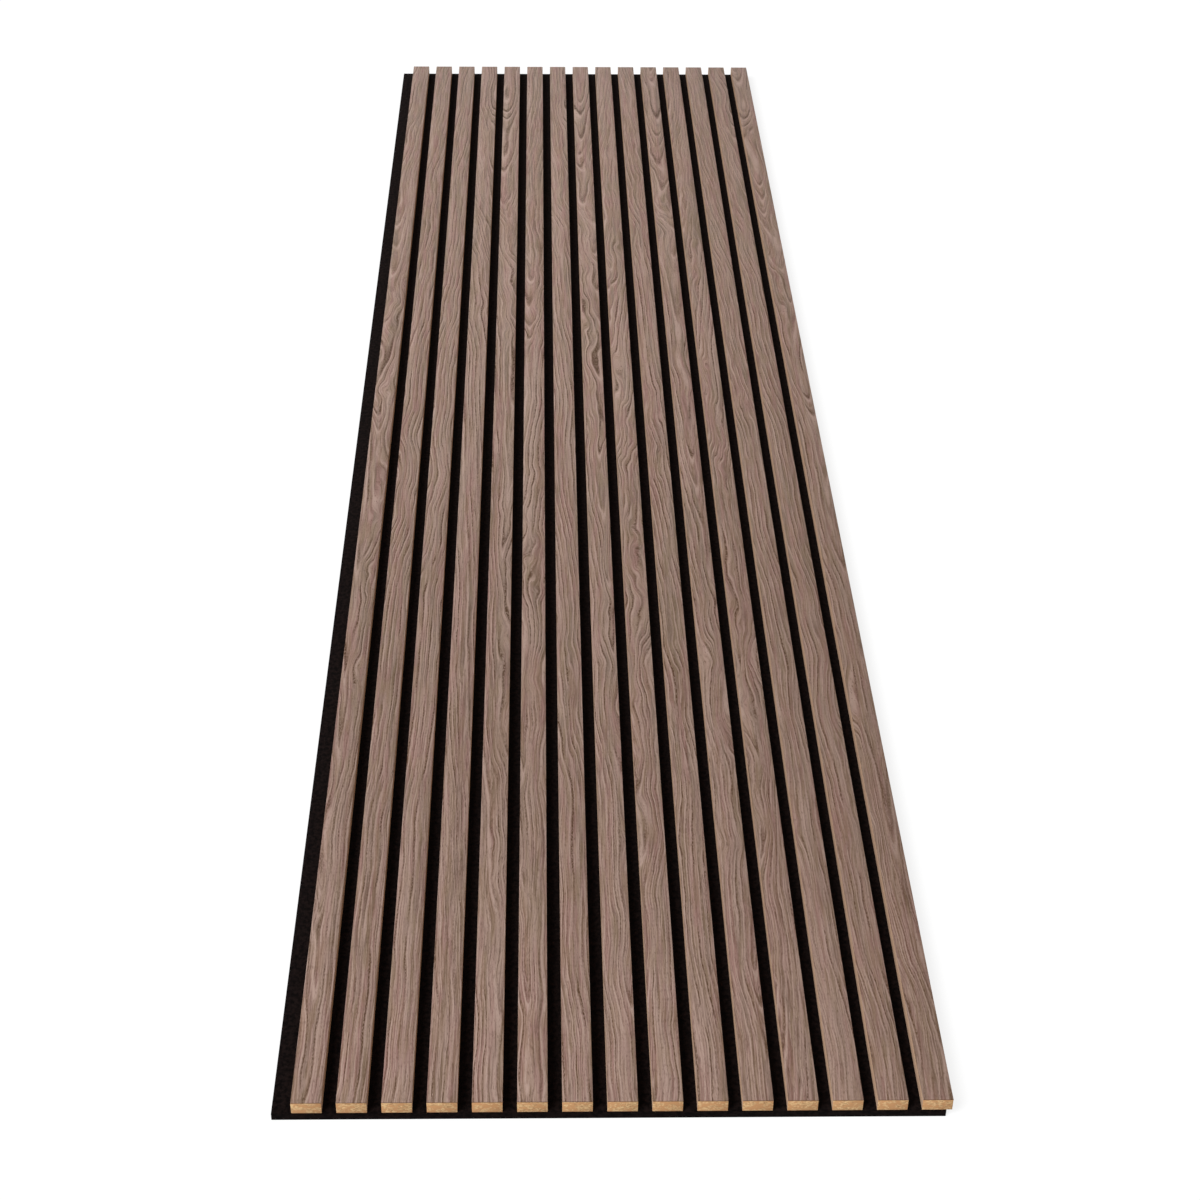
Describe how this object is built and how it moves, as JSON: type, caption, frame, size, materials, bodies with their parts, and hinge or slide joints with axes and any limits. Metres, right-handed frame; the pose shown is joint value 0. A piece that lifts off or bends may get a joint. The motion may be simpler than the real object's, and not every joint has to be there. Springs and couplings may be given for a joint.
{
  "type": "acoustic slat wall panel",
  "caption": "Long sound-absorbing wall panel: parallel walnut-veneered fibreboard slats stapled over dark felt, with an offset felt edge that laps under the next panel.",
  "frame": {"origin": "centre of the felt's back, the face that goes against the wall", "axes": "+X across the slats towards the side where the last slat overhangs the felt, +Y along the slats, +Z out of the panel's face; the panel lies on its back"},
  "size_m": [0.605, 2.4, 0.022],
  "materials": {
    "felt": "pressed black-brown felt board",
    "mdf": "raw sawn fibreboard",
    "veneer": "matt oiled walnut veneer",
    "staple": "zinc-plated wire"
  },
  "bodies": {
    "root": {"felt_backing": "felt", "slat_core_01": "mdf", "slat_core_02": "mdf", "slat_core_03": "mdf", "slat_core_04": "mdf", "slat_core_05": "mdf", "slat_core_06": "mdf", "slat_core_07": "mdf", "slat_core_08": "mdf", "slat_core_09": "mdf", "slat_core_10": "mdf", "slat_core_11": "mdf", "slat_core_12": "mdf", "slat_core_13": "mdf", "slat_core_14": "mdf", "slat_core_15": "mdf", "veneer_strip_01": "veneer", "veneer_strip_02": "veneer", "veneer_strip_03": "veneer", "veneer_strip_04": "veneer", "veneer_strip_05": "veneer", "veneer_strip_06": "veneer", "veneer_strip_07": "veneer", "veneer_strip_08": "veneer", "veneer_strip_09": "veneer", "veneer_strip_10": "veneer", "veneer_strip_11": "veneer", "veneer_strip_12": "veneer", "veneer_strip_13": "veneer", "veneer_strip_14": "veneer", "veneer_strip_15": "veneer", "staples": "staple"}
  },
  "joints": []
}
